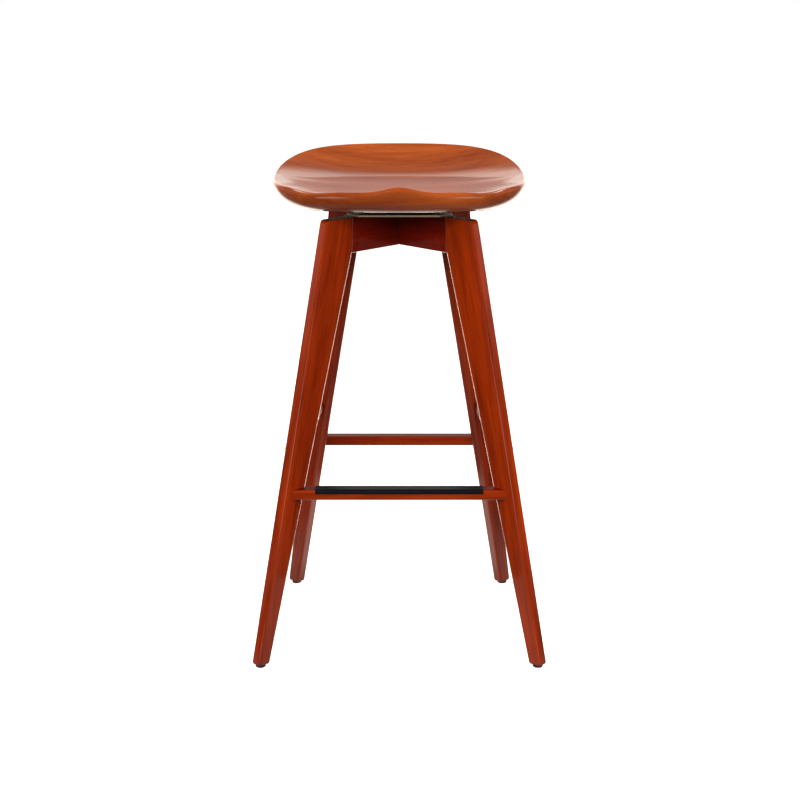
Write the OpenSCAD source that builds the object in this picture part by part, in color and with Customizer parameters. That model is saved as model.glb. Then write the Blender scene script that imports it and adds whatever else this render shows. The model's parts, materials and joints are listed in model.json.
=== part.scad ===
// Swivel bar stool: a saddle seat on a ball-bearing swivel, four tapered board legs
// set on the diagonals, crossed rails under the swivel, and a footrest bar.
// Millimetres, +Z up. The origin is on the floor, in the middle of the footprint.

/* [Overall] */
// Height of the seat's rear rim above the floor
stool_h = 786; // [770:1:800]
// Height of the wooden frame, at the tops of the legs and rails
frame_h = 702; // [690:1:710]
// Height of the whole swivel, between the frame and the seat
swivel_h = 18; // [16:1:20]

/* [Seat] */
// Width of the seat
seat_w = 409; // [380:1:430]
// Distance from the swivel axis to the seat's front edge
seat_front = 173; // [168:1:185]
// Distance from the swivel axis to the seat's rear edge
seat_rear = 179; // [168:1:190]
// How square the front half of the outline is, where 2 is an ellipse
front_square = 3.1; // [2.4:0.1:3.4]
// How square the rear half of the outline is, where 2 is an ellipse
rear_square = 2.3; // [2:0.1:3]
// Rim height above the seat's underside, at the sides
side_rim = 38; // [32:1:42]
// Rim height above the seat's underside, at the front
front_rim = 32.5; // [30:0.5:38]
// Height of the dished middle above the seat's underside
bowl_h = 21; // [20:0.5:24]
// How far the pommel stands above the front rim
pommel_h = 9.5; // [4:0.5:12]
// How far the front rim dips on each side of the pommel, for the thighs
thigh_dip = 5.5; // [0:0.5:8]

/* [Legs] */
// Thickness of the leg boards and the rails
board_t = 18; // [16:1:20]
// Leg width at the top, level cut
leg_top_w = 71; // [64:1:76]
// Leg width at the foot, level cut
leg_foot_w = 24.5; // [22:0.5:28]
// Distance of each front foot from the swivel axis, along X and along Y
front_foot = 222; // [205:1:230]
// Distance of each rear foot from the swivel axis, along X and along Y
rear_foot = 184; // [175:1:200]
// Distance of each front leg's top from the swivel axis, along X and along Y
front_top = 93.5; // [92:0.5:98]
// Distance of each rear leg's top from the swivel axis, along X and along Y
rear_top = 86; // [86:0.5:92]
// Radius of the long edges of the legs
leg_edge_r = 4; // [2:0.5:5]
// Depth of the rails
rail_h = 57; // [52:1:64]

/* [Stretchers] */
// Stretcher width, front to back
stretcher_w = 27; // [24:1:30]
// Stretcher height
stretcher_h = 16.5; // [14:0.5:18]
// Radius of the stretcher edges
stretcher_r = 4; // [2:0.5:6]
// Height of the middle of the footrest bar and the rear stretcher
low_z = 273; // [250:1:300]
// Height of the middle of the two side stretchers
side_z = 342; // [325:1:360]
// How far the footrest bar sits inside the middle of the front legs
footrest_inset = 9; // [0:1:9]
// Length of the metal cover on the footrest bar
cover_l = 266; // [200:1:270]
// Thickness of the metal cover
cover_t = 1.2; // [0.8:0.1:2]

/* [Swivel] */
// Width of the square swivel plates
plate_w = 168; // [160:1:172]
// Thickness of the swivel plates
plate_t = 2.5; // [2:0.5:3]
// Size of the clipped plate corners
plate_clip = 20; // [16:1:22]
// Distance of each plate screw from the swivel axis, along X and along Y
screw_xy = 65; // [63:1:66]
// Radius of the circle that the ball centres lie on
ball_ring_r = 55; // [50:1:58]
// Radius of each ball
ball_r = 3.5; // [3:0.1:3.5]
// Number of balls
ball_count = 24; // [16:1:28]

/* [Glides] */
// Radius of the glides
glide_r = 8; // [7:0.5:8.5]
// Height of the glides
glide_h = 4; // [3:0.5:6]

/* [Hidden] */
$fn = 64;

// How far a cutting shape runs past the surface that it cuts
over = 1;
// Thickness between two opposite 45 degree faces, measured along X or along Y
board_xy = board_t * sqrt(2);
// Place of the swivel axis, which leaves the footprint centred on the origin
axis_y = (front_foot - rear_foot) / 2;

// Direction of each leg from the swivel axis
FRONT_LEFT = 225;
FRONT_RIGHT = 315;
REAR_RIGHT = 45;
REAR_LEFT = 135;

// Legs
knee_z = frame_h - rail_h;
corner_cut = 7;
foot_bevel = 2.5;

// Distance of the leg's middle from the swivel axis at height z, along X and along Y
function leg_xy(foot, top, z) = foot + (top - foot) * z / frame_h;
// Distance along the diagonal of the leg's inner (side -1) or outer (side 1) edge
function leg_edge(foot, top, side, z) =
    leg_xy(foot, top, z) * sqrt(2)
    + side * (leg_foot_w + (leg_top_w - leg_foot_w) * z / frame_h) / 2;
// Place of a leg's upright inner end face, which the rail butts on
function knee_r(foot, top) = leg_edge(foot, top, -1, knee_z);

// Dowels
rail_dowel_r = 4;
rail_dowel_half = 20;
rail_dowel_depths = [28, 44];
stretcher_dowel_r = 4;
stretcher_dowel_half = 16;

// Screws
screw_r = 2;
screw_head_r = 4.5;
screw_head_h = 2.6;
screw_l = 16;
screw_slot_w = 1;
screw_slot_l = 5;
screw_slot_h = 1.4;
plate_hole_r = 2.3;

// Swivel
lower_top = frame_h + plate_t;
seat_z = frame_h + swivel_h;
upper_bottom = seat_z - plate_t;
ball_z = frame_h + swivel_h / 2;
plate_bore_r = 40;
race_gap = 1.2;
race_w = 6.8;
race_clear = 1.5;
groove_clear = 0.15;
cage_t = 1.6;
cage_half_h = 4.8;
cage_clear = 0.15;

// Seat
SEGMENTS = 72;
TOP_RINGS = 9;
SKIN_RINGS = 4;
rear_rim = stool_h - seat_z;
rim_round = 5.5;
under_round_side = 36;
under_round_end = 20;
under_ease = 1.2;
widest_part = 0.8;
pommel_half_w = 34;
dip_x = 140;
dip_half_w = 32;
side_steep = 2.6;
end_steep = 4.5;
rear_steep = 2;

function half_depth(a) = sin(a) > 0 ? seat_rear : seat_front;
function squareness(a) = sin(a) > 0 ? rear_square : front_square;
// Distance from the swivel axis to the seat's outline, in the direction a
function outline_r(a) =
    let (n = squareness(a))
    pow(pow(abs(cos(a)) * 2 / seat_w, n) + pow(abs(sin(a)) / half_depth(a), n), -1 / n);
function bell(x, half_w) = exp(-pow(x / half_w, 2));
function front_part(a) = max(-sin(a), 0);
// Share of the rear rim's extra height at t, the share of the way to the rear edge
function rise(t) = t * t * (3 - 2 * t);
// Height of the dished top above the underside, in the direction a, s of the way out
// from the middle to the rim: the bowl, the side rim, the front rim and the rear rim
function top_h(a, s) =
    let (
        x = outline_r(a) * cos(a),
        t = max(outline_r(a) * sin(a) / seat_rear, 0),
        ends = pow(s, side_steep + (end_steep - side_steep) * pow(sin(a), 2)),
        front = (front_rim - side_rim) * pow(front_part(a), 2)
            + pommel_h * bell(x, pommel_half_w) * front_part(a)
            - thigh_dip * bell(abs(x) - dip_x, dip_half_w) * front_part(a)
    )
    bowl_h + (side_rim - bowl_h + front) * ends
    + (rear_rim - side_rim) * rise(t * s) * pow(s, rear_steep);
function rim_h(a) = top_h(a, 1);
function under_round(a) = under_round_side + (under_round_end - under_round_side) * abs(sin(a));
// A point of the dished top, s of the way from the middle to the rim's crest
function top_point(a, s) =
    let (r = s * (outline_r(a) - rim_round))
    [r * cos(a), r * sin(a), top_h(a, s)];
// A point of the outer skin, from the crest (p = 90) past the widest part (p = 0)
// to the underside (p = -90)
function skin_point(a, p) =
    let (
        inset = p > 0 ? rim_round : under_round(a),
        ease = p > 0 ? 1 : under_ease,
        middle = rim_h(a) * widest_part,
        half = p > 0 ? rim_h(a) - middle : middle,
        r = outline_r(a) - inset * (1 - pow(cos(p), ease))
    )
    [r * cos(a), r * sin(a), middle + half * sign(p) * pow(abs(sin(p)), ease)];

// Keeps the parts that stand on the swivel axis in one place
module on_axis() {
    translate([0, axis_y, 0]) children();
}

// ---------- Seat ----------

module seat_blank() {
    ring_count = TOP_RINGS + 2 * SKIN_RINGS;
    rings = [
        for (i = [1:TOP_RINGS]) for (k = [0:SEGMENTS - 1])
            top_point(360 * k / SEGMENTS, i / TOP_RINGS),
        for (i = [1:2 * SKIN_RINGS]) for (k = [0:SEGMENTS - 1])
            skin_point(360 * k / SEGMENTS, 90 - 90 * i / SKIN_RINGS),
    ];
    top = ring_count * SEGMENTS;
    quads = [
        for (i = [0:ring_count - 2]) for (k = [0:SEGMENTS - 1])
            let (j = (k + 1) % SEGMENTS)
            [i * SEGMENTS + k, i * SEGMENTS + j, (i + 1) * SEGMENTS + j, (i + 1) * SEGMENTS + k],
    ];
    cap = [for (k = [0:SEGMENTS - 1]) [top, (k + 1) % SEGMENTS, k]];
    base = [for (k = [0:SEGMENTS - 1]) (ring_count - 1) * SEGMENTS + k];
    polyhedron(points = concat(rings, [[0, 0, bowl_h]]), faces = concat(quads, cap, [base]));
}

module seat() {
    color([0.62, 0.24, 0.08])
    on_axis()
    difference() {
        translate([0, 0, seat_z]) seat_blank();
        at_plate_holes() translate([0, 0, seat_z - over])
            cylinder(r = screw_r, h = screw_l - plate_t + over);
    }
}

// ---------- Fasteners ----------

// A cross-head screw pointing up, with the underside of its head at the origin
module screw(r, l, head_r, head_h) {
    cylinder(r = r, h = l);
    difference() {
        translate([0, 0, -head_h]) cylinder(r = head_r, h = head_h);
        for (turn = [0, 90])
            rotate([0, 0, turn])
                translate([-screw_slot_l / 2, -screw_slot_w / 2, -head_h - over])
                    cube([screw_slot_l, screw_slot_w, screw_slot_h + over]);
    }
}

module at_plate_holes() {
    for (sx = [-1, 1]) for (sy = [-1, 1])
        translate([sx * screw_xy, sy * screw_xy, 0]) children();
}

module seat_screws() {
    color("silver")
    on_axis() at_plate_holes() translate([0, 0, upper_bottom])
        screw(screw_r, screw_l, screw_head_r, screw_head_h);
}

module frame_screws() {
    color("silver")
    on_axis() at_plate_holes() translate([0, 0, lower_top]) rotate([180, 0, 0])
        screw(screw_r, screw_l, screw_head_r, screw_head_h);
}

// ---------- Swivel ----------

// A square plate with clipped corners, four screw holes and a central bore
module swivel_plate(z) {
    w = plate_w / 2;
    c = w - plate_clip;
    translate([0, 0, z])
    difference() {
        linear_extrude(plate_t)
            polygon([[-w, -c], [-c, -w], [c, -w], [w, -c], [w, c], [c, w], [-c, w], [-w, c]]);
        translate([0, 0, -over]) cylinder(r = plate_bore_r, h = plate_t + 2 * over);
        at_plate_holes() translate([0, 0, -over])
            cylinder(r = plate_hole_r, h = plate_t + 2 * over);
    }
}

// A bearing race: a ring from radius r0 to r0 + race_w, grooved for the balls
module race(r0, z0, z1) {
    rotate_extrude($fn = 96)
    difference() {
        translate([r0, z0]) square([race_w, z1 - z0]);
        translate([ball_ring_r, ball_z]) circle(r = ball_r + groove_clear);
    }
}

module swivel_lower_plate() {
    color([0.86, 0.82, 0.68])
    on_axis() {
        swivel_plate(frame_h);
        race(ball_ring_r - race_gap - race_w, lower_top, upper_bottom - race_clear);
    }
}

module swivel_upper_plate() {
    color([0.86, 0.82, 0.68])
    on_axis() {
        swivel_plate(upper_bottom);
        race(ball_ring_r + race_gap, lower_top + race_clear, upper_bottom);
    }
}

module at_balls() {
    for (i = [0:ball_count - 1])
        rotate([0, 0, 360 * i / ball_count]) translate([ball_ring_r, 0, ball_z]) children();
}

module swivel_balls() {
    color("gainsboro")
    on_axis() at_balls() sphere(r = ball_r, $fn = 24);
}

module swivel_ball_cage() {
    color([0.75, 0.6, 0.3])
    on_axis()
    difference() {
        translate([0, 0, ball_z - cage_half_h])
        difference() {
            cylinder(r = ball_ring_r + cage_t / 2, h = 2 * cage_half_h);
            translate([0, 0, -over])
                cylinder(r = ball_ring_r - cage_t / 2, h = 2 * (cage_half_h + over));
        }
        at_balls() rotate([0, 90, 0])
            cylinder(r = ball_r + cage_clear, h = 2 * (cage_t + over), center = true);
    }
}

// ---------- Rails ----------

// A rail that runs along the X axis, from the front leg's inner face at -X to the
// rear leg's at +X. It is notched from the top, or from below, where the other crosses it.
module rail(notch_top) {
    front = knee_r(front_foot, front_top);
    rear = knee_r(rear_foot, rear_top);
    difference() {
        translate([-front, -board_t / 2, knee_z]) cube([front + rear, board_t, rail_h]);
        translate([-board_t / 2, -board_t / 2 - over, notch_top ? knee_z + rail_h / 2 : knee_z - over])
            cube([board_t, board_t + 2 * over, rail_h / 2 + over]);
        rail_dowel_bores(-front);
        rail_dowel_bores(rear);
        for (side = [-1, 1])
            translate([side * screw_xy * sqrt(2), 0, frame_h - screw_l + plate_t])
                cylinder(r = screw_r, h = screw_l);
    }
}

// The dowels that cross a joint face at x, along the rail
module rail_dowel_bores(x) {
    for (depth = rail_dowel_depths)
        translate([x, 0, frame_h - depth]) rotate([0, 90, 0])
            cylinder(r = rail_dowel_r, h = 2 * rail_dowel_half, center = true);
}

module left_rail() {
    color([0.42, 0.1, 0.03])
    on_axis() rotate([0, 0, REAR_RIGHT]) rail(true);
}

module right_rail() {
    color([0.42, 0.1, 0.03])
    on_axis() rotate([0, 0, REAR_LEFT]) rail(false);
}

module rail_dowels() {
    color("burlywood")
    on_axis()
    for (turn = [REAR_RIGHT, REAR_LEFT])
        rotate([0, 0, turn]) {
            rail_dowel_bores(-knee_r(front_foot, front_top));
            rail_dowel_bores(knee_r(rear_foot, rear_top));
        }
}

// ---------- Legs ----------

// Takes the sharp corner off an edge that runs up the Z axis, where the wood lies
// at x < 0 and y < 0
module edge_cutter(l) {
    r = leg_edge_r;
    translate([0, 0, -board_t])
    linear_extrude(l + 2 * board_t)
    difference() {
        translate([-r, -r]) square(r + over);
        translate([-r, -r]) circle(r = r);
    }
}

// Rounds both long edges of one narrow side, which runs from p to q in the XZ plane
module round_side(p, q, side) {
    lean = atan2(q.x - p.x, q.y - p.y);
    translate([p.x, 0, p.y]) rotate([0, lean, 0])
    for (face = [0, 1])
        mirror([0, face, 0]) mirror([side < 0 ? 1 : 0, 0, 0])
            translate([0, board_t / 2, 0]) edge_cutter(norm(q - p));
}

// A leg that stands in the XZ plane, at its distance from the swivel axis
module leg_board(foot, top) {
    in_foot = [leg_edge(foot, top, -1, glide_h), glide_h];
    out_foot = [leg_edge(foot, top, 1, glide_h), glide_h];
    out_top = [leg_edge(foot, top, 1, frame_h), frame_h];
    knee = [knee_r(foot, top), knee_z];
    cut_z = frame_h - corner_cut;
    difference() {
        rotate([90, 0, 0]) linear_extrude(board_t, center = true)
            polygon([
                in_foot + [0, foot_bevel], in_foot + [foot_bevel, 0],
                out_foot - [foot_bevel, 0], out_foot + [0, foot_bevel],
                [leg_edge(foot, top, 1, cut_z), cut_z], out_top - [corner_cut, 0],
                [knee.x, frame_h], knee,
            ]);
        round_side(out_foot, out_top, 1);
        round_side(in_foot, knee, -1);
    }
}

// A leg with its bores, turned to its own diagonal
module leg(foot, top, direction) {
    color([0.5, 0.14, 0.03])
    on_axis()
    difference() {
        rotate([0, 0, direction]) leg_board(foot, top);
        rotate([0, 0, direction]) rail_dowel_bores(knee_r(foot, top));
        stretcher_dowel_set();
        glide_nail_at(foot, top, direction);
    }
}

module front_left_leg() {
    leg(front_foot, front_top, FRONT_LEFT);
}

module front_right_leg() {
    leg(front_foot, front_top, FRONT_RIGHT);
}

module rear_left_leg() {
    leg(rear_foot, rear_top, REAR_LEFT);
}

module rear_right_leg() {
    leg(rear_foot, rear_top, REAR_RIGHT);
}

// ---------- Stretchers ----------

// Where the middle line of each stretcher meets the leg faces, seen from above.
// A point on the leg face that looks forward or back is (x, x + board_xy / 2).
footrest_y = -(leg_xy(front_foot, front_top, low_z) + board_xy / 4 - footrest_inset);
footrest_x = -footrest_y - board_xy / 2;
rear_y = leg_xy(rear_foot, rear_top, low_z) + board_xy / 4;
rear_x = rear_y - board_xy / 2;
side_front = leg_xy(front_foot, front_top, side_z);
side_rear = leg_xy(rear_foot, rear_top, side_z);
face_xy = board_xy / 4;

FOOTREST_ENDS = [[-footrest_x, footrest_y], [footrest_x, footrest_y]];
REAR_ENDS = [[-rear_x, rear_y], [rear_x, rear_y]];
LEFT_ENDS = [
    [-side_front - face_xy, -side_front + face_xy],
    [-side_rear - face_xy, side_rear - face_xy],
];
RIGHT_ENDS = [for (p = LEFT_ENDS) [-p.x, p.y]];

// The flat size of a rectangle with rounded corners, centred on the origin
module rounded_rect(w, h, r) {
    square([w - 2 * r, h], center = true);
    square([w, h - 2 * r], center = true);
    for (sx = [-1, 1]) for (sy = [-1, 1])
        translate([sx * (w / 2 - r), sy * (h / 2 - r)]) circle(r = r);
}

// Puts children, which lie along the X axis, on the line from p to q at height z
module along(p, q, z) {
    middle = (p + q) / 2;
    translate([middle.x, middle.y, z]) rotate([0, 0, atan2(q.y - p.y, q.x - p.x)]) children();
}

// The space between two neighbouring legs, on the side that direction points to
module between_legs(direction) {
    reach = 2 * front_foot;
    rotate([0, 0, direction])
    linear_extrude(frame_h)
        polygon([
            [board_xy / 2, 0], [board_xy / 2 + reach, reach], [board_xy / 2 + reach, -reach],
        ]);
}

// A stretcher whose ends are mitred to the 45 degree faces of the legs
module stretcher(ends, z, direction) {
    color([0.45, 0.14, 0.07])
    on_axis()
    difference() {
        intersection() {
            along(ends[0], ends[1], z) rotate([90, 0, 90])
                linear_extrude(norm(ends[1] - ends[0]) + 2 * stretcher_w, center = true)
                    rounded_rect(stretcher_w, stretcher_h, stretcher_r);
            between_legs(direction);
        }
        stretcher_dowel_set();
        cover_screw_set();
    }
}

module dowels_at_ends(ends, z) {
    l = norm(ends[1] - ends[0]);
    for (side = [-1, 1])
        along(ends[0], ends[1], z) translate([side * l / 2, 0, 0]) rotate([0, 90, 0])
            cylinder(r = stretcher_dowel_r, h = 2 * stretcher_dowel_half, center = true);
}

module stretcher_dowel_set() {
    dowels_at_ends(FOOTREST_ENDS, low_z);
    dowels_at_ends(REAR_ENDS, low_z);
    dowels_at_ends(LEFT_ENDS, side_z);
    dowels_at_ends(RIGHT_ENDS, side_z);
}

module footrest_bar() {
    stretcher(FOOTREST_ENDS, low_z, 270);
}

module rear_stretcher() {
    stretcher(REAR_ENDS, low_z, 90);
}

module left_stretcher() {
    stretcher(LEFT_ENDS, side_z, 180);
}

module right_stretcher() {
    stretcher(RIGHT_ENDS, side_z, 0);
}

module stretcher_dowels() {
    color("burlywood")
    on_axis() stretcher_dowel_set();
}

// ---------- Footrest cover ----------

cover_front_drop = 5.5;
cover_back_drop = 10;
cover_screw_end = 20;
cover_screw_depth = 6.5;
cover_screw_x = cover_l / 2 - cover_screw_end;
cover_screw_z = low_z + stretcher_h / 2 - cover_screw_depth;
cover_screw_r = 1.5;
cover_screw_l = 12;
cover_head_r = 2.8;
cover_head_h = 1.4;

// Sheet metal bent over the top of the footrest bar, its front lip shorter than its back lip
module footrest_cover() {
    out_w = stretcher_w + 2 * cover_t;
    out_h = stretcher_h + 2 * cover_t;
    color([0.06, 0.06, 0.06])
    on_axis()
    difference() {
        translate([0, footrest_y, low_z]) rotate([90, 0, 90])
        linear_extrude(cover_l, center = true)
        difference() {
            rounded_rect(out_w, out_h, stretcher_r + cover_t);
            rounded_rect(stretcher_w, stretcher_h, stretcher_r);
            translate([-out_w, stretcher_h / 2 - cover_front_drop - out_h]) square([out_w, out_h]);
            translate([0, stretcher_h / 2 - cover_back_drop - out_h]) square([out_w, out_h]);
        }
        cover_screw_set();
    }
}

module cover_screw_set() {
    for (side = [-1, 1])
        translate([side * cover_screw_x, footrest_y + stretcher_w / 2 + cover_t, cover_screw_z])
            rotate([90, 0, 0])
                screw(cover_screw_r, cover_screw_l, cover_head_r, cover_head_h);
}

module cover_screws() {
    color("dimgray")
    on_axis() cover_screw_set();
}

// ---------- Glides ----------

nail_r = 1.2;
nail_l = 18;
nail_head_r = 3;
nail_head_h = 1;
nail_head_z = 1.4;

module at_foot(foot, top, direction) {
    rotate([0, 0, direction]) translate([leg_xy(foot, top, glide_h) * sqrt(2), 0, 0]) children();
}

module glide_nail_at(foot, top, direction) {
    at_foot(foot, top, direction) {
        translate([0, 0, nail_head_z]) cylinder(r = nail_head_r, h = nail_head_h);
        translate([0, 0, nail_head_z]) cylinder(r = nail_r, h = nail_l);
    }
}

// A round foot with an eased lower edge and a recess for the nail's head
module glide(foot, top, direction) {
    bevel = 1.2;
    color([0.08, 0.08, 0.08])
    on_axis()
    at_foot(foot, top, direction)
    rotate_extrude()
        polygon([
            [nail_head_r, 0], [glide_r - bevel, 0], [glide_r, bevel], [glide_r, glide_h],
            [nail_r, glide_h], [nail_r, nail_head_z + nail_head_h],
            [nail_head_r, nail_head_z + nail_head_h],
        ]);
}

module front_left_glide() {
    glide(front_foot, front_top, FRONT_LEFT);
}

module front_right_glide() {
    glide(front_foot, front_top, FRONT_RIGHT);
}

module rear_left_glide() {
    glide(rear_foot, rear_top, REAR_LEFT);
}

module rear_right_glide() {
    glide(rear_foot, rear_top, REAR_RIGHT);
}

module glide_nails() {
    color("silver")
    on_axis() {
        glide_nail_at(front_foot, front_top, FRONT_LEFT);
        glide_nail_at(front_foot, front_top, FRONT_RIGHT);
        glide_nail_at(rear_foot, rear_top, REAR_LEFT);
        glide_nail_at(rear_foot, rear_top, REAR_RIGHT);
    }
}

seat();
seat_screws();
swivel_upper_plate();
swivel_lower_plate();
swivel_balls();
swivel_ball_cage();
frame_screws();
left_rail();
right_rail();
rail_dowels();
front_left_leg();
front_right_leg();
rear_left_leg();
rear_right_leg();
footrest_bar();
footrest_cover();
cover_screws();
rear_stretcher();
left_stretcher();
right_stretcher();
stretcher_dowels();
front_left_glide();
front_right_glide();
rear_left_glide();
rear_right_glide();
glide_nails();
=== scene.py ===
import json
import math

import bpy
from mathutils import Matrix, Vector


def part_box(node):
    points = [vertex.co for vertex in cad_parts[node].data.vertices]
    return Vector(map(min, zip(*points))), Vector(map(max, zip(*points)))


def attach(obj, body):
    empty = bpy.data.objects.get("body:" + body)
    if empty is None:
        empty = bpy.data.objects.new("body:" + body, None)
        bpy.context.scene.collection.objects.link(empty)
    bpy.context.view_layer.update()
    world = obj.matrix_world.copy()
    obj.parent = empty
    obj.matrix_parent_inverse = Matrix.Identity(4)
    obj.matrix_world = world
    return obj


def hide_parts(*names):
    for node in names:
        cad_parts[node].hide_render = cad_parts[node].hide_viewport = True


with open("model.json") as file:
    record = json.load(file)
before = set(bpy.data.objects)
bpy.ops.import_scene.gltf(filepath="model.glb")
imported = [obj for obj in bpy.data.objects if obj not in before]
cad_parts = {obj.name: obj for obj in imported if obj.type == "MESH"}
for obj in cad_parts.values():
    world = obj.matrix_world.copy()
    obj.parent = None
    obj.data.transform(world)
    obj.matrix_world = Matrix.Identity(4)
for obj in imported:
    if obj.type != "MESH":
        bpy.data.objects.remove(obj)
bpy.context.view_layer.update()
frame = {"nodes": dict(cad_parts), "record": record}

# ---------- Places and sizes, in metres ----------

JOINTS = {joint["name"]: joint for joint in frame["record"]["behaviour"]["joints"]}
AXIS = Vector(JOINTS["seat_swivel"]["pos_m"])     # the swivel axis, where it meets the floor
AXIS.z = 0.0

BOARD_T = 0.018            # thickness of legs and rails
LEG_TOP_W = 0.071          # leg width at the top, level cut
LEG_FOOT_W = 0.0245        # leg width at the foot, level cut
LEG_TOP_XY = {"front": 0.0935, "rear": 0.086}     # leg's middle at the top, in X and Y from the axis
LEG_EDGE_R = 0.004         # rounding of the long edges
LEG_FOOT_R = 0.005         # corners at the foot
LEG_TOP_R = 0.009          # outer corner at the top
LEG_BUTT_R = 0.0012        # inner corner at the top, against the rail
LEG_KNEE_R = 0.006         # bend where the inner edge meets the rail's lower edge
RAIL_EDGE_R = 0.0018       # rounding of the long lower edges
RAIL_CORNER_R = 0.0006     # corners of the rail's outline
STRETCHER_W = 0.027        # level width of the section
STRETCHER_H = 0.0165       # upright height of the section
STRETCHER_R = 0.004        # rounding of its four edges
RACE_R = 0.064             # outside of the bearing races, which are darkened with painted shade

FRAME_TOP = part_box("front_left_leg")[1][2]
FOOT_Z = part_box("front_left_leg")[0][2]
RAIL_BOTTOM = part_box("left_rail")[0][2]
SEAT_LOW, SEAT_HIGH = (Vector(corner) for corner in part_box("seat"))

ROOT2 = math.sqrt(2.0)


def from_axis(node):
    """The middle of a CAD node's box, measured from the swivel axis."""
    low, high = (Vector(corner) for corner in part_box(node))
    return (low + high) / 2 - AXIS


# ---------- Camera ----------

SENSOR_W = 36.0            # mm
LENS = 92.72               # mm
CAMERA_SIDE = 0.0012
CAMERA_AHEAD = 3.305       # in front of the swivel axis
CAMERA_HEIGHT = 1.2255
CAMERA_PITCH = math.radians(14.307)     # below level


def add_camera():
    data = bpy.data.cameras.new("camera")
    data.sensor_width = SENSOR_W
    data.lens = LENS
    camera = bpy.data.objects.new("camera", data)
    camera.location = (CAMERA_SIDE, AXIS.y - CAMERA_AHEAD, CAMERA_HEIGHT)
    camera.rotation_euler = (math.pi / 2 - CAMERA_PITCH, 0.0, 0.0)
    bpy.context.scene.collection.objects.link(camera)
    bpy.context.scene.camera = camera


add_camera()


# ---------- Materials ----------

NOISE_ROUGHNESS = 0.55     # how strong each finer layer of a noise is
FINE_RELIEF = 0.0002       # depth of the relief on metal, paint and plastic
GRAIN_RELIEF = 0.0004      # depth of the pores in wood


class Nodes:
    """A short way to add and link the nodes of a material or of the world."""

    def __init__(self, owner, main="Principled BSDF"):
        self.owner = owner
        owner.use_nodes = True
        self.tree = owner.node_tree
        self.shader = self.tree.nodes[main]

    def add(self, kind, inputs=None, **settings):
        node = self.tree.nodes.new(kind)
        for key, value in settings.items():
            setattr(node, key, value)
        for key, value in (inputs or {}).items():
            self.put(node, key, value)
        return node

    def put(self, node, key, value):
        """Links value if it is a socket, and sets it if it is a number or a colour."""
        if isinstance(value, bpy.types.NodeSocket):
            self.tree.links.new(value, node.inputs[key])
        else:
            node.inputs[key].default_value = value

    def math(self, operation, a, b=0.0, clamp=False):
        return self.add("ShaderNodeMath", {0: a, 1: b}, operation=operation, use_clamp=clamp).outputs[0]

    def mix(self, factor, a, b):
        """Blends two colours."""
        return self.add("ShaderNodeMix", {0: factor, 6: a, 7: b}, data_type="RGBA").outputs[2]

    def noise(self, vector, scale=1.0, detail=3.0):
        node = self.add("ShaderNodeTexNoise", {
            "Vector": vector, "Scale": scale, "Detail": detail, "Roughness": NOISE_ROUGHNESS})
        return node.outputs["Fac"]

    def mapping(self, vector, **inputs):
        names = {key.capitalize(): value for key, value in inputs.items()}
        return self.add("ShaderNodeMapping", {"Vector": vector, **names}).outputs[0]

    def remap(self, value, low, high, to_low=0.0, to_high=1.0, smooth=False):
        node = self.add("ShaderNodeMapRange", {
            "Value": value, "From Min": low, "From Max": high, "To Min": to_low, "To Max": to_high},
            interpolation_type="SMOOTHSTEP" if smooth else "LINEAR")
        return node.outputs[0]

    def split(self, vector):
        return self.add("ShaderNodeSeparateXYZ", {0: vector}).outputs

    def bump(self, height, strength, distance):
        inputs = {"Height": height, "Strength": strength, "Distance": distance}
        return self.add("ShaderNodeBump", inputs).outputs[0]

    def vector(self, operation, a, b):
        return self.add("ShaderNodeVectorMath", {0: a, 1: b}, operation=operation).outputs[0]

    def object_place(self):
        """The point on the piece, in the piece's own axes."""
        return self.add("ShaderNodeTexCoord").outputs["Object"]


def new_material(name):
    return Nodes(bpy.data.materials.new(name))


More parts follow.
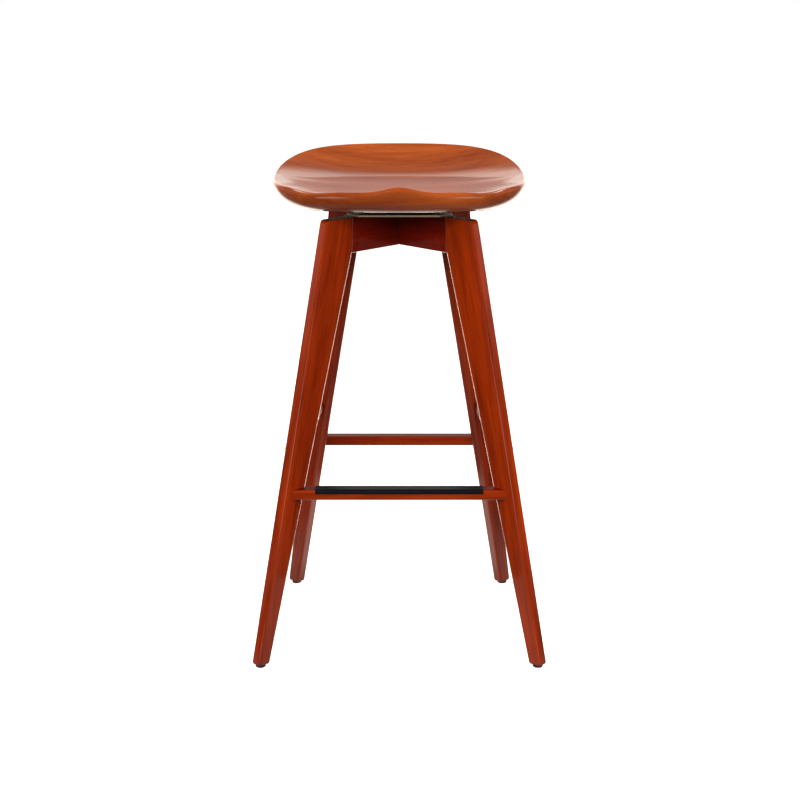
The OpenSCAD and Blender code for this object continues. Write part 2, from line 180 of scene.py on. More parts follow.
def wood(name, dark, light, turn=(0.0, 0.0, 0.0), seed=0.0, stave=0.0, coat=1.0, haze=0.0):
    """Stained, lacquered hardwood. turn rotates the piece's own axes so that the grain runs
    along Z. stave is the width of glued boards across Y, or 0 for one board. haze is the
    milky veil that rubbed lacquer shows at a glancing angle."""
    n = new_material(name)
    place = n.object_place()
    shift = (0.37 * seed, 0.61 * seed, 1.3 * seed)     # another part of the log for each seed
    grain = n.mapping(n.mapping(place, rotation=turn), location=shift)

    # Slow wander of the grain, so that the lines aren't straight
    wander = n.add("ShaderNodeTexNoise", {
        "Vector": n.mapping(grain, scale=(6.0, 6.0, 1.6)), "Scale": 1.0, "Detail": 1.0})
    centred = n.vector("SUBTRACT", wander.outputs["Color"], (0.5, 0.5, 0.5))
    grain = n.vector("ADD", grain, n.vector("MULTIPLY", centred, (0.03, 0.03, 0.0)))

    # Four layers, all stretched along the grain
    broad = n.noise(n.mapping(grain, scale=(34.0, 34.0, 3.2)), detail=4.0)
    fine = n.noise(n.mapping(grain, scale=(240.0, 240.0, 14.0)), detail=3.0)
    pores = n.noise(n.mapping(grain, scale=(1500.0, 1500.0, 55.0)), detail=1.0)
    cloud = n.noise(n.mapping(grain, scale=(7.0, 7.0, 3.0)), detail=2.0)

    figure = n.math("ADD", n.math("MULTIPLY", broad, 0.55), n.math("MULTIPLY", fine, 0.25))
    figure = n.math("ADD", figure, n.math("MULTIPLY", cloud, 0.2))
    figure = n.remap(figure, 0.33, 0.68)
    if stave:
        board = n.math("FLOOR", n.math("DIVIDE", n.split(place)["Y"], stave))
        level = n.add("ShaderNodeTexWhiteNoise", {"W": n.math("ADD", board, seed)},
                      noise_dimensions="1D").outputs["Value"]
        figure = n.math("ADD", figure, n.remap(level, 0.0, 1.0, -0.12, 0.12), clamp=True)
    colour = n.mix(figure, dark, light)
    pore_mask = n.remap(pores, 0.60, 0.72)
    pore_colour = (*(0.45 * channel for channel in dark[:3]), 1.0)
    colour = n.mix(n.math("MULTIPLY", pore_mask, 0.35), colour, pore_colour)

    n.put(n.shader, "Base Color", colour)
    n.put(n.shader, "Roughness", n.remap(fine, 0.3, 0.7, 0.34, 0.46))
    n.put(n.shader, "Coat Weight", coat)
    n.put(n.shader, "Coat Roughness", 0.07)
    n.put(n.shader, "Coat IOR", 1.5)
    n.put(n.shader, "Specular IOR Level", 0.05)
    n.put(n.shader, "Sheen Weight", haze)
    n.put(n.shader, "Sheen Roughness", 0.35)
    relief = n.math("SUBTRACT", n.math("MULTIPLY", fine, 0.5), pore_mask)
    n.put(n.shader, "Normal", n.bump(relief, 0.12, GRAIN_RELIEF))
    return n.owner


def metal(name, colour, roughness, scratch=0.0, metallic=1.0, mottle=0.08):
    """Turned or pressed metal, with a fine scratched relief and a little mottling."""
    n = new_material(name)
    place = n.object_place()
    scratches = n.noise(place, scale=900.0, detail=2.0)
    blotch = n.noise(place, scale=45.0, detail=3.0)
    shade = n.remap(blotch, 0.3, 0.7, 1.0 - mottle, 1.0 + mottle)
    base = n.add("ShaderNodeRGB")
    base.outputs[0].default_value = colour
    tinted = n.add("ShaderNodeVectorMath", {0: base.outputs[0], 3: shade}, operation="SCALE")
    n.put(n.shader, "Base Color", tinted.outputs[0])
    n.put(n.shader, "Metallic", metallic)
    n.put(n.shader, "Roughness", n.remap(blotch, 0.3, 0.7, roughness * 0.85, roughness * 1.2))
    n.put(n.shader, "Normal", n.bump(scratches, scratch, FINE_RELIEF))
    return n.owner


def swivel_zinc(name):
    """Cream zinc plate, with painted shade: the bearing races in the middle and the
    faces that look up are darkened, standing in for the shade in the gap under the seat."""
    n = new_material(name)
    place = n.object_place()
    blotch = n.noise(place, scale=45.0, detail=3.0)
    zinc = n.mix(blotch, (0.90, 0.76, 0.46, 1.0), (0.97, 0.88, 0.62, 1.0))
    # Painted shade: a near-black colour for the races and the faces that look up
    gap_shade = n.mix(blotch, (0.010, 0.008, 0.006, 1.0), (0.035, 0.027, 0.018, 1.0))
    flat = n.vector("MULTIPLY", n.vector("SUBTRACT", place, tuple(AXIS)), (1.0, 1.0, 0.0))
    reach = n.add("ShaderNodeVectorMath", {0: flat}, operation="LENGTH").outputs["Value"]
    upward = n.split(n.add("ShaderNodeNewGeometry").outputs["True Normal"])["Z"]
    # Mask of the painted shade: 0 on the races, and nearly 0 on faces that look up
    off_races = n.remap(reach, RACE_R, RACE_R + 0.002)
    off_tops = n.remap(upward, 0.5, 0.9, 1.0, 0.08)
    bright = n.math("MULTIPLY", off_races, off_tops)
    n.put(n.shader, "Base Color", n.mix(bright, gap_shade, zinc))
    n.put(n.shader, "Metallic", n.remap(bright, 0.0, 1.0, 0.0, 0.2))
    n.put(n.shader, "Roughness", n.remap(blotch, 0.3, 0.7, 0.35, 0.5))
    n.put(n.shader, "Normal", n.bump(blotch, 0.05, FINE_RELIEF))
    return n.owner


def painted_black(name):
    """Semi-gloss black paint on sheet metal."""
    n = new_material(name)
    place = n.object_place()
    peel = n.noise(place, scale=700.0, detail=1.0)
    haze = n.noise(n.mapping(place, scale=(9.0, 40.0, 40.0)), detail=3.0)
    n.put(n.shader, "Base Color", n.mix(haze, (0.003, 0.003, 0.004, 1.0), (0.008, 0.008, 0.010, 1.0)))
    n.put(n.shader, "Roughness", n.remap(haze, 0.3, 0.7, 0.30, 0.40))
    n.put(n.shader, "IOR", 1.12)
    n.put(n.shader, "Specular IOR Level", 0.2)
    n.put(n.shader, "Normal", n.bump(peel, 0.05, FINE_RELIEF))
    return n.owner


def moulded_plastic(name):
    """Dull black moulded plastic, with scuffs."""
    n = new_material(name)
    place = n.object_place()
    grit = n.noise(place, scale=900.0, detail=2.0)
    scuff = n.noise(place, scale=120.0, detail=4.0)
    n.put(n.shader, "Base Color", n.mix(scuff, (0.008, 0.008, 0.008, 1.0), (0.022, 0.021, 0.02, 1.0)))
    n.put(n.shader, "Roughness", n.remap(scuff, 0.3, 0.7, 0.45, 0.6))
    n.put(n.shader, "Normal", n.bump(grit, 0.15, FINE_RELIEF))
    return n.owner


# ---------- Mesh helpers ----------

CREASE = math.radians(38.0)     # an edge that bends more than this stays sharp
NEARLY_LEVEL = 0.9              # how far along Z the normal of a level face points, at least


def new_piece(name, vertices, faces, material, place=Matrix()):
    """A smooth mesh. place says where the vertices stand, and the piece keeps the world's axes."""
    mesh = bpy.data.meshes.new(name)
    mesh.from_pydata([tuple(v) for v in vertices], [], faces)
    mesh.transform(place)
    mesh.validate()
    mesh.update()
    for polygon in mesh.polygons:
        polygon.use_smooth = True
    mesh.set_sharp_from_angle(angle=CREASE)
    mesh.materials.append(material)
    piece = bpy.data.objects.new(name, mesh)
    bpy.context.scene.collection.objects.link(piece)
    return piece


def add_matte(piece, material, is_matte):
    """Gives the faces that is_matte picks, by their middle and direction, a second material."""
    piece.data.materials.append(material)
    for polygon in piece.data.polygons:
        if is_matte(polygon.center, polygon.normal):
            polygon.material_index = 1


def hold_flats(piece):
    """Keeps flat faces flat next to rounded edges."""
    modifier = piece.modifiers.new("weighted_normals", "WEIGHTED_NORMAL")
    modifier.keep_sharp = True
    modifier.weight = 100


def inset_corners(corners, amounts):
    """Moves each edge of a closed outline, counterclockwise, inward by its own amount."""
    count = len(corners)
    lines = []
    for i in range(count):
        a, b = corners[i], corners[(i + 1) % count]
        along = (b - a).normalized()
        inward = Vector((-along.y, along.x))
        lines.append((a + inward * amounts[i], along))
    result = []
    for i in range(count):
        (p, u), (q, v) = lines[i - 1], lines[i]
        cross = u.x * v.y - u.y * v.x
        t = ((q.x - p.x) * v.y - (q.y - p.y) * v.x) / cross
        result.append(p + u * t)
    return result


def fillet(corners, radii, steps):
    """Rounds each corner of a closed outline with an arc of steps + 1 points."""
    result = []
    count = len(corners)
    for i in range(count):
        corner = corners[i]
        back = (corners[i - 1] - corner).normalized()
        ahead = (corners[(i + 1) % count] - corner).normalized()
        half = back.angle(ahead) / 2.0
        radius = radii[i]
        centre = corner + (back + ahead).normalized() * (radius / math.sin(half))
        start = corner + back * (radius / math.tan(half)) - centre
        end = corner + ahead * (radius / math.tan(half)) - centre
        turn = math.atan2(start.x * end.y - start.y * end.x, start.dot(end))
        for k in range(steps + 1):
            angle = turn * k / steps
            c, s = math.cos(angle), math.sin(angle)
            result.append(centre + Vector((start.x * c - start.y * s, start.x * s + start.y * c)))
    return result


def is_hollow(corners, i):
    """Whether the outline bends inward at corner i."""
    a, b, c = corners[i - 1], corners[i], corners[(i + 1) % len(corners)]
    return (b - a).x * (c - b).y - (b - a).y * (c - b).x < 0.0


def board_mesh(corners, radii, eases, thickness, edge_r, steps=6, edge_steps=6):
    """A flat board in the XZ plane with rounded edges. corners run counterclockwise as (x, z).
    eases say how much of the edge radius each side gets, from a sharp 0 to a full 1."""
    flat_lip = 0.3 * edge_r     # a flat border inside the rounded edge, which keeps its shading even
    levels = []
    for k in range(edge_steps + 1):
        angle = math.pi / 2 * k / edge_steps
        inset = edge_r * (1.0 - math.cos(angle))
        levels.append((inset, thickness / 2 - edge_r * (1.0 - math.sin(angle))))
    levels.append((edge_r + flat_lip, thickness / 2))
    levels = [(inset, -y) for inset, y in reversed(levels)] + levels
    hollow = [is_hollow(corners, i) for i in range(len(corners))]
    vertices = []
    for inset, y in levels:
        moved = inset_corners(corners, [inset * ease for ease in eases])
        # A corner gets tighter as it moves in, down to a fiftieth, and a hollow one gets wider
        kept = [max(r + inset * (1 if hollow[i] else -1), 0.02 * r) for i, r in enumerate(radii)]
        vertices += [(p.x, y, p.y) for p in fillet(moved, kept, steps)]
    ring = len(vertices) // len(levels)
    faces = [list(range(ring))]
    for level in range(len(levels) - 1):
        for k in range(ring):
            a, b = level * ring + k, level * ring + (k + 1) % ring
            faces.append([a + ring, b + ring, b, a])
    faces.append([len(vertices) - 1 - k for k in range(ring)])
    return vertices, faces


def on_diagonal(direction):
    """The frame whose X axis runs out from the swivel axis in that direction."""
    return Matrix.Translation(AXIS) @ Matrix.Rotation(math.radians(direction), 4, "Z")


# ---------- Wood tones and grain ----------

# Each kind of surface runs from its dark grain to its light grain
DARK_FRAME = (0.075, 0.0030, 0.0003, 1.0)
LIGHT_FRAME = (0.34, 0.030, 0.0010, 1.0)
# The rails are the legs' wood in a darker tone, which is painted shade under the seat
DARK_RAIL_SHADED = (0.042, 0.0012, 0.0002, 1.0)
LIGHT_RAIL_SHADED = (0.16, 0.0060, 0.0005, 1.0)
DARK_SEAT = (0.13, 0.017, 0.0022, 1.0)
LIGHT_SEAT = (0.34, 0.066, 0.0095, 1.0)
# Matte end grain of the leg tops, darkened near black as painted shade under the seat
DARK_END_SHADED = (0.010, 0.0010, 0.0004, 1.0)
LIGHT_END_SHADED = (0.035, 0.0045, 0.0015, 1.0)
# The seat's unlacquered underside, in a darker tone that is painted shade
DARK_UNDER_SHADED = (0.035, 0.0060, 0.0012, 1.0)
LIGHT_UNDER_SHADED = (0.095, 0.019, 0.0042, 1.0)
RAW_DARK = (0.42, 0.27, 0.14, 1.0)
RAW_LIGHT = (0.62, 0.44, 0.26, 1.0)

GRAIN_ALONG_X = (0.0, -math.pi / 2, 0.0)


def grain_turn(lean, direction):
    """Turns the grain of a board on that diagonal, which leans that far from the Z axis, along Z."""
    heading = Matrix.Rotation(math.radians(-direction), 3, "Z")
    return tuple((Matrix.Rotation(-lean, 3, "Y") @ heading).to_euler())


# ---------- Legs ----------

# The diagonal that each leg stands on, in degrees from X
LEGS = {
    "front_left_leg": 225.0,
    "front_right_leg": 315.0,
    "rear_right_leg": 45.0,
    "rear_left_leg": 135.0,
}


def leg_line(name):
    """Distance of the leg's middle line from the swivel axis, at the foot and at the top."""
    glide = from_axis(name.replace("leg", "glide"))
    foot = math.hypot(glide.x, glide.y)
    top = LEG_TOP_XY[name.split("_")[0]] * ROOT2
    return foot, top


def leg_edges(name, z):
    """Distance of the leg's inner and outer edges from the swivel axis at height z."""
    foot, top = leg_line(name)
    share = (z - FOOT_Z) / (FRAME_TOP - FOOT_Z)
    middle = foot + (top - foot) * share
    half = (LEG_FOOT_W + (LEG_TOP_W - LEG_FOOT_W) * z / FRAME_TOP) / 2
    return middle - half, middle + half


def is_leg_top(middle, facing):
    return middle.z > FRAME_TOP - LEG_EDGE_R and facing.z > NEARLY_LEVEL


def make_leg(name, direction, seed):
    foot_in, foot_out = leg_edges(name, FOOT_Z)
    knee_in = leg_edges(name, RAIL_BOTTOM)[0]
    top_out = leg_edges(name, FRAME_TOP)[1]
    corners = [
        Vector((foot_in, FOOT_Z)), Vector((foot_out, FOOT_Z)), Vector((top_out, FRAME_TOP)),
        Vector((knee_in, FRAME_TOP)), Vector((knee_in, RAIL_BOTTOM)),
    ]
    radii = [LEG_FOOT_R, LEG_FOOT_R, LEG_TOP_R, LEG_BUTT_R, LEG_KNEE_R]
    # The sole, the outer edge, the sawn top, the butt against the rail and the inner edge
    eases = [0.6, 1.0, 0.02, 0.12, 1.0]
    vertices, faces = board_mesh(corners, radii, eases, BOARD_T, LEG_EDGE_R)
    lean = math.atan2((top_out + knee_in - foot_in - foot_out) / 2, FRAME_TOP - FOOT_Z)
    turn = grain_turn(lean, direction)
    material = wood("wood_" + name, DARK_FRAME, LIGHT_FRAME, turn=turn, seed=seed)
    piece = new_piece(name + "_board", vertices, faces, material, on_diagonal(direction))
    # The sawn top is matte end grain, and its near-black tone is painted shade under the seat
    end_grain_and_shade = wood("wood_end_shaded_" + name, DARK_END_SHADED, LIGHT_END_SHADED, seed=seed, coat=0.0)
    add_matte(piece, end_grain_and_shade, is_leg_top)
    hold_flats(piece)
    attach(piece, "frame")
    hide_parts(name)


for index, (leg_name, leg_direction) in enumerate(LEGS.items()):
    make_leg(leg_name, leg_direction, index + 1.0)


# ---------- Crossed rails ----------

def make_rail(name, front_leg, rear_leg, direction, notch_top, seed):
    """A rail along X in its own frame, from the front leg at -X to the rear leg at +X. The
    half-lap notch is cut from above or from below, and only the rail's lower edge is eased
    in full."""
    front = leg_edges(front_leg, RAIL_BOTTOM)[0]
    rear = leg_edges(rear_leg, RAIL_BOTTOM)[0]
    half = BOARD_T / 2
    middle = (RAIL_BOTTOM + FRAME_TOP) / 2
    low = [(-front, RAIL_BOTTOM), (rear, RAIL_BOTTOM)]
    high = [(rear, FRAME_TOP), (-front, FRAME_TOP)]
    if notch_top:
        notch = [(half, FRAME_TOP), (half, middle), (-half, middle), (-half, FRAME_TOP)]
        outline = low + high[:1] + notch + high[1:]
        eases = [1.0, 0.3, 0.05, 0.3, 0.3, 0.3, 0.05, 0.3]
    else:
        notch = [(-half, RAIL_BOTTOM), (-half, middle), (half, middle), (half, RAIL_BOTTOM)]
        outline = low[:1] + notch + low[1:] + high
        eases = [1.0, 0.3, 0.3, 0.3, 1.0, 0.3, 0.05, 0.3]
    corners = [Vector(point) for point in outline]
    radii = [RAIL_CORNER_R] * len(corners)
    vertices, faces = board_mesh(corners, radii, eases, BOARD_T, RAIL_EDGE_R, steps=3, edge_steps=4)
    turn = grain_turn(math.pi / 2, direction)
    # The darker rail tone is painted shade under the seat
    material = wood("wood_" + name, DARK_RAIL_SHADED, LIGHT_RAIL_SHADED, turn=turn, seed=seed)
    piece = new_piece(name + "_board", vertices, faces, material, on_diagonal(direction))
    hold_flats(piece)
    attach(piece, "frame")
    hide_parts(name)


make_rail("left_rail", "front_left_leg", "rear_right_leg", direction=45.0, notch_top=True, seed=11.0)
make_rail("right_rail", "front_right_leg", "rear_left_leg", direction=135.0, notch_top=False, seed=12.0)


# ---------- Stretchers ----------

def rounded_section(width, height, radius, steps=8):
    """Points (across, up) of a rectangle with rounded corners."""
    w, h = width / 2, height / 2
    corners = [Vector((-w, -h)), Vector((w, -h)), Vector((w, h)), Vector((-w, h))]
    return fillet(corners, [radius] * 4, steps)


def mitred_bar(name, section, start, end, z, direction, seed, stations=24):
    """A bar along the line from start to end, at height z. Both ends are cut by the 45 degree
    leg faces on the side of the swivel axis that direction points to."""
    along = (end - start).normalized()
    across = Vector((along.y, -along.x))
    out = Vector((math.cos(math.radians(direction)), math.sin(math.radians(direction))))
    side = Vector((-out.y, out.x))
    face = BOARD_T / ROOT2
    vertices = []
    for k in range(stations + 1):
        for q in section:
            base = (start + end) / 2 + across * q.x
            reach = []
            for sign in (-1.0, 1.0):
                # The leg face is where the sideways distance equals the outward distance - face
                wall = side * sign - out
                reach.append(-(base.dot(wall) + face) / along.dot(wall))
            low, high = min(reach), max(reach)
            point = base + along * (low + (high - low) * k / stations)
            vertices.append((point.x, point.y, z + q.y))
    ring = len(section)
    faces = [list(range(ring))]
    for k in range(stations):
        for j in range(ring):
            a, b = k * ring + j, k * ring + (j + 1) % ring
            faces.append([b, a, a + ring, b + ring])
    faces.append([len(vertices) - 1 - j for j in range(ring)])
    heading = math.atan2(along.y, along.x)
    turn = (0.0, -math.pi / 2, -heading)
    material = wood("wood_" + name, DARK_FRAME, LIGHT_FRAME, turn=turn, seed=seed)
    # The level tops are matte and take the darker rail tone, which is painted shade
    matte_shaded_top = wood("wood_matte_shaded_top_" + name, DARK_RAIL_SHADED, LIGHT_RAIL_SHADED, turn=turn, seed=seed, coat=0.0)
    piece = new_piece(name + "_bar", vertices, faces, material, Matrix.Translation(AXIS))
    add_matte(piece, matte_shaded_top, lambda middle, facing: facing.z > NEARLY_LEVEL)
    hold_flats(piece)
    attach(piece, "frame")
    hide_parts(name)


def make_stretchers():
    """The front and rear bars run along X. Each side bar runs from the middle of the face of
    the front leg to the middle of the face of the rear leg."""
    section = rounded_section(STRETCHER_W, STRETCHER_H, STRETCHER_R)
    level_pair = (("footrest_bar", 270.0), ("rear_stretcher", 90.0))
    for seed, (name, direction) in enumerate(level_pair):
        middle = from_axis(name)
        centre = middle.to_2d()
        half = Vector((0.1, 0.0))     # gives the direction only: the leg faces set the length
        mitred_bar(name, section, centre - half, centre + half, middle.z, direction, 21.0 + seed)
    side_pair = (("left_stretcher", -1.0, 180.0), ("right_stretcher", 1.0, 0.0))
    shift = BOARD_T / ROOT2 / 2       # from the leg's middle plane to its face, in X and in Y
    for seed, (name, sign, direction) in enumerate(side_pair):
        z = from_axis(name).z
        ends = []
        for leg, depth in (("front_left_leg", -1.0), ("rear_left_leg", 1.0)):
            xy = sum(leg_edges(leg, z)) / 2 / ROOT2
            ends.append(Vector((sign * (xy + shift), depth * (xy - shift))))
        mitred_bar(name, section, ends[0], ends[1], z, direction, 31.0 + seed)


make_stretchers()


# ---------- Seat ----------

SEAT_CENTRE = Vector((AXIS.x, AXIS.y, SEAT_LOW.z))
SEAT_HALF_W = (SEAT_HIGH.x - SEAT_LOW.x) / 2
SEAT_FRONT = AXIS.y - SEAT_LOW.y
SEAT_REAR = SEAT_HIGH.y - AXIS.y
FRONT_SQUARE = 3.1         # squareness of the outline's front half, where 2 is an ellipse
REAR_SQUARE = 2.3          # the same of its rear half

# Heights above the underside
REAR_RIM = SEAT_HIGH.z - SEAT_LOW.z
SIDE_RIM = 0.038
FRONT_RIM = 0.0325
BOWL = 0.021               # middle of the dish

# The front rim's crest rises at the pommel and dips under each thigh
POMMEL = 0.0095
POMMEL_HALF_W = 0.034
THIGH_DIP = 0.0055
DIP_X = 0.140
DIP_HALF_W = 0.032

# The edge: a small round over the rim, and a large one under it
RIM_ROUND = 0.0055
UNDER_ROUND_SIDE = 0.036
UNDER_ROUND_END = 0.020
UNDER_EASE = 1.2           # shape of the large round: 1 is a quarter of an ellipse, more is flatter
WIDEST_PART = 0.8          # height of the widest part, as a share of the rim's height

# Powers that say how steeply the dish climbs to its rim
SIDE_STEEP = 2.6
END_STEEP = 4.5
REAR_STEEP = 2.0

SEAT_STAVE = 0.082         # width of the glued boards
SEAT_HAZE = 0.19           # strength of the lacquer's veil, from 0 to 1


def bell(x, half_w):
    """A smooth bump, 1 in the middle."""
    return math.exp(-((x / half_w) ** 2))


def outline_r(angle):
    """Distance from the swivel axis to the seat's outline."""
    c, s = math.cos(angle), math.sin(angle)
    depth, n = (SEAT_REAR, REAR_SQUARE) if s > 0 else (SEAT_FRONT, FRONT_SQUARE)
    return ((abs(c) / SEAT_HALF_W) ** n + (abs(s) / depth) ** n) ** (-1.0 / n)


def rise(t):
    """A smooth step from 0 to 1."""
    return t * t * (3.0 - 2.0 * t)


def top_h(angle, s):
    """Height of the dished top above the underside, s of the way from the middle to the rim:
    the bowl, the side rim, the front rim with its pommel and thigh dips, and the rear rim."""
    sine = math.sin(angle)
    x = outline_r(angle) * math.cos(angle)
    t = max(outline_r(angle) * sine / SEAT_REAR, 0.0)
    front_part = max(-sine, 0.0)
    ends = s ** (SIDE_STEEP + (END_STEEP - SIDE_STEEP) * sine ** 2)
    front = (FRONT_RIM - SIDE_RIM) * front_part ** 2
    front += POMMEL * bell(x, POMMEL_HALF_W) * front_part
    front -= THIGH_DIP * bell(abs(x) - DIP_X, DIP_HALF_W) * front_part
    rear = (REAR_RIM - SIDE_RIM) * rise(t * s) * s ** REAR_STEEP
    return BOWL + (SIDE_RIM - BOWL + front) * ends + rear


def under_round(angle):
    """How far the large round under the edge reaches inward."""
    return UNDER_ROUND_SIDE + (UNDER_ROUND_END - UNDER_ROUND_SIDE) * abs(math.sin(angle))


def seat_rings(angle, top_rings, skin_rings):
    """Points (distance, height) from the middle of the dish, over the rim, to the underside."""
    rim, outer = top_h(angle, 1.0), outline_r(angle)
    points = []
    for k in range(1, top_rings + 1):
        s = k / top_rings
        points.append((s * (outer - RIM_ROUND), top_h(angle, s)))
    middle = WIDEST_PART * rim
    for k in range(1, skin_rings + 1):
        p = math.pi / 2 * (1.0 - k / skin_rings)
        points.append((outer - RIM_ROUND * (1.0 - math.cos(p)), middle + (rim - middle) * math.sin(p)))
    for k in range(1, 2 * skin_rings + 1):
        p = math.pi / 2 * k / (2 * skin_rings)
        inset = under_round(angle) * (1.0 - math.cos(p) ** UNDER_EASE)
        points.append((outer - inset, middle * (1.0 - math.sin(p) ** UNDER_EASE)))
    return points


def make_seat(segments=240, top_rings=44, skin_rings=10):
    columns = []
    for k in range(segments):
        angle = 2.0 * math.pi * k / segments
        columns.append([
            (r * math.cos(angle), r * math.sin(angle), h)
            for r, h in seat_rings(angle, top_rings, skin_rings)])
    rings = len(columns[0])
    vertices = [columns[k][i] for i in range(rings) for k in range(segments)]
    vertices += [(0.0, 0.0, BOWL), (0.0, 0.0, 0.0)]
    top, under = len(vertices) - 2, len(vertices) - 1
    faces = []
    for k in range(segments):
        j = (k + 1) % segments
        faces.append([top, k, j])
        for i in range(rings - 1):
            a, b = i * segments, (i + 1) * segments
            faces.append([a + k, b + k, b + j, a + j])
        last = (rings - 1) * segments
        faces.append([last + k, under, last + j])
    blank = {"turn": GRAIN_ALONG_X, "seed": 41.0, "stave": SEAT_STAVE}
    material = wood("wood_seat", DARK_SEAT, LIGHT_SEAT, haze=SEAT_HAZE, **blank)
    # The underside is matte, and its darker tone is painted shade
    underside = wood("wood_seat_under_shaded", DARK_UNDER_SHADED, LIGHT_UNDER_SHADED, coat=0.0, **blank)
    piece = new_piece("saddle_seat", vertices, faces, material, Matrix.Translation(SEAT_CENTRE))
    add_matte(piece, underside, lambda middle, facing: facing.z < -NEARLY_LEVEL)
    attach(piece, "swivel_seat")
    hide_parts("seat")


make_seat()


# ---------- Materials of the CAD parts that stay ----------

def paint(node, material):
    mesh = frame["nodes"][node].data
    mesh.materials.clear()
    mesh.materials.append(material)


def paint_small_parts():
    zinc = swivel_zinc("zinc_cream")
    screw = metal("zinc_bright", (0.62, 0.62, 0.61, 1.0), 0.28, scratch=0.08)
    ball = metal("ball_steel", (0.78, 0.78, 0.8, 1.0), 0.08, mottle=0.02)
    brass = metal("cage_brass", (0.72, 0.5, 0.2, 1.0), 0.35, scratch=0.1)
    dark_screw = metal("black_screw", (0.012, 0.012, 0.013, 1.0), 0.35, scratch=0.1, metallic=0.0)
    beech = wood("beech", RAW_DARK, RAW_LIGHT, turn=GRAIN_ALONG_X, seed=51.0, coat=0.0)
    plastic = moulded_plastic("black_plastic")
    cover = painted_black("black_paint")
    for node in ("swivel_upper_plate", "swivel_lower_plate"):
        paint(node, zinc)
    for node in ("seat_screws", "frame_screws", "glide_nails"):
        paint(node, screw)
    for node in ("rail_dowels", "stretcher_dowels"):
        paint(node, beech)
    for node in frame["nodes"]:
        if node.endswith("_glide"):
            paint(node, plastic)
    paint("swivel_balls", ball)
    paint("swivel_ball_cage", brass)
    paint("cover_screws", dark_screw)
    paint("footrest_cover", cover)


paint_small_parts()


# ---------- Stage, light and world ----------

STAGE_HALF_W = 14.0
MIRRORED_WHITE = (1.0, 0.84, 0.74, 1.0)     # the warm white that the lacquer mirrors
LIGHT_TARGET = Vector((0.0, 0.0, 0.45))     # a little above the middle of the stool


def stage_plane(name, material):
    half = STAGE_HALF_W
    corners = [(-half, -half, 0.0), (half, -half, 0.0), (half, half, 0.0), (-half, half, 0.0)]
    plane = new_piece(name, corners, [[0, 1, 2, 3]], material)
    return plane


def add_floor():
    """A white floor that glows a little, so that it stays as pale as the backdrop."""
    n = new_material("floor")
    speckle = n.noise(n.object_place(), scale=3.0, detail=2.0)
    n.put(n.shader, "Base Color", n.mix(speckle, (0.86, 0.86, 0.86, 1.0), (0.9, 0.9, 0.9, 1.0)))
    n.put(n.shader, "Roughness", 0.8)
    n.put(n.shader, "Specular IOR Level", 0.0)
    n.put(n.shader, "Emission Color", (1.0, 1.0, 1.0, 1.0))
    n.put(n.shader, "Emission Strength", 0.5)
    floor = stage_plane("floor", n.owner)
    floor.visible_glossy = False
    floor.visible_diffuse = False


def add_sweep():
    """What the lacquer reflects of the floor: pale under the stool, dim beside it, bright
    behind it, and bright in two patches ahead of it. The camera doesn't see this plane."""
    n = new_material("sweep")
    x, y, _ = n.split(n.object_place())
    away = n.math("SQRT", n.math("ADD", n.math("MULTIPLY", x, x), n.math("MULTIPLY", y, y)))
    aside = n.math("ABSOLUTE", x)
    near = n.remap(away, 0.3, 0.8, 0.4, 0.05, smooth=True)
    beside = n.remap(away, 1.0, 2.4, 0.0, 0.08, smooth=True)

    # Behind is a wide fan, and under is a narrow strip that leads into it
    spread = n.math("DIVIDE", aside, n.math("ADD", n.math("MAXIMUM", y, 0.0), 0.3))
    behind = n.math("MULTIPLY", n.remap(y, 0.15, 0.6, 0.0, 5.0, smooth=True),
                    n.remap(spread, 0.6, 1.25, 1.0, 0.0, smooth=True))
    under = n.math("MULTIPLY", n.remap(y, -0.15, 0.2, 0.0, 1.3, smooth=True),
                   n.remap(aside, 0.08, 0.2, 1.0, 0.0, smooth=True))
    behind = n.math("MAXIMUM", behind, under)

    # Ahead is left of the middle and right of it, and ends at the two diagonals
    off_middle = n.math("DIVIDE", aside, n.math("ABSOLUTE", y))
    ahead = n.math("MULTIPLY", n.remap(y, -1.9, -1.1, 2.5, 0.0, smooth=True),
                   n.remap(off_middle, 0.2, 0.5, smooth=True))
    past_diagonal = n.math("ADD", aside, y)
    ahead = n.math("MULTIPLY", ahead, n.remap(past_diagonal, -0.2, 0.2, 1.0, 0.0, smooth=True))

    glow = n.math("ADD", n.math("ADD", near, behind), n.math("ADD", beside, ahead))
    n.put(n.shader, "Base Color", (0.0, 0.0, 0.0, 1.0))
    n.put(n.shader, "Specular IOR Level", 0.0)
    n.put(n.shader, "Emission Color", MIRRORED_WHITE)
    n.put(n.shader, "Emission Strength", glow)
    sweep = stage_plane("sweep", n.owner)
    sweep.visible_camera = False
    sweep.visible_diffuse = False
    sweep.visible_shadow = False


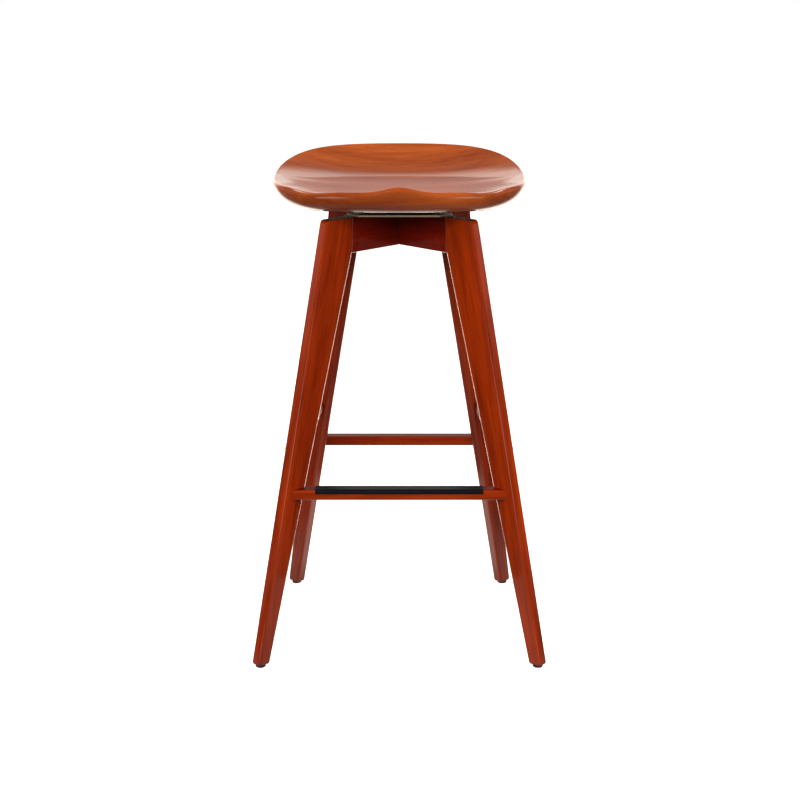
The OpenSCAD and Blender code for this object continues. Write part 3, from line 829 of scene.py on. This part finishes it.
def add_world():
    """A white backdrop to the eye. The lacquer sees it bright behind the stool, low down, and
    dark overhead and in front. The diffuse light is soft and comes mostly from above."""
    world = bpy.data.worlds.new("studio")
    bpy.context.scene.world = world
    n = Nodes(world, "Background")
    # x, y and z say where a ray goes, as a unit vector
    x, y, z = n.split(n.add("ShaderNodeTexCoord").outputs["Generated"])
    aside = n.math("ABSOLUTE", x)

    # The backdrop reaches higher to the sides and is weaker in the middle
    lift = n.math("SUBTRACT", z, n.math("MULTIPLY", aside, 0.45))
    backdrop = n.math("MULTIPLY", n.remap(y, 0.55, 0.92, smooth=True),
                      n.remap(lift, 0.36, 0.60, 2.5, 0.0, smooth=True))
    backdrop = n.math("MULTIPLY", backdrop, n.remap(aside, 0.02, 0.15, 0.45, 1.0, smooth=True))

    # A low band to the left and right
    band = n.math("MULTIPLY", n.remap(z, 0.05, 0.13, 0.0, 0.55, smooth=True),
                  n.remap(z, 0.3, 0.6, 1.0, 0.0, smooth=True))
    band = n.math("MULTIPLY", n.remap(aside, 0.7, 0.95, smooth=True), band)

    mirrored = n.math("ADD", n.math("ADD", backdrop, band), 0.03)
    soft = n.remap(z, -0.3, 0.9, 0.24, 0.7, smooth=True)

    path = n.add("ShaderNodeLightPath").outputs
    # The lacquer gets the mirrored light, the eye gets plain white, and the rest is soft
    strength = n.add("ShaderNodeMix", {0: path["Is Glossy Ray"], 2: soft, 3: mirrored}).outputs[0]
    strength = n.add("ShaderNodeMix", {0: path["Is Camera Ray"], 2: strength, 3: 1.0}).outputs[0]
    n.put(n.shader, "Color", n.mix(path["Is Glossy Ray"], (1.0, 1.0, 1.0, 1.0), MIRRORED_WHITE))
    n.put(n.shader, "Strength", strength)


def add_area(name, place, size, power, mirrored=False):
    """A soft light aimed at the stool. The lacquer shows it only if it is mirrored."""
    data = bpy.data.lights.new(name, "AREA")
    data.shape = "RECTANGLE"
    data.size, data.size_y = size
    data.energy = power
    light = bpy.data.objects.new(name, data)
    light.location = place
    aim = LIGHT_TARGET - Vector(place)
    light.rotation_euler = aim.to_track_quat("-Z", "Y").to_euler()
    light.visible_glossy = mirrored
    bpy.context.scene.collection.objects.link(light)


def add_lights():
    """A soft box and a narrow strip on each side, and a soft box in front."""
    for side, name in ((-1.0, "left"), (1.0, "right")):
        add_area(name, place=(side * 2.8, -0.9, 2.2), size=(2.2, 1.6), power=46.0)
        add_area(name + "_strip", place=(side * 1.6, 0.6, 3.4), size=(1.8, 0.5), power=22.0,
                 mirrored=True)
    add_area("front", place=(0.0, -3.8, 2.35), size=(2.0, 1.2), power=172.0)


add_floor()
add_sweep()
add_world()
add_lights()
bpy.context.scene.view_settings.view_transform = "Standard"
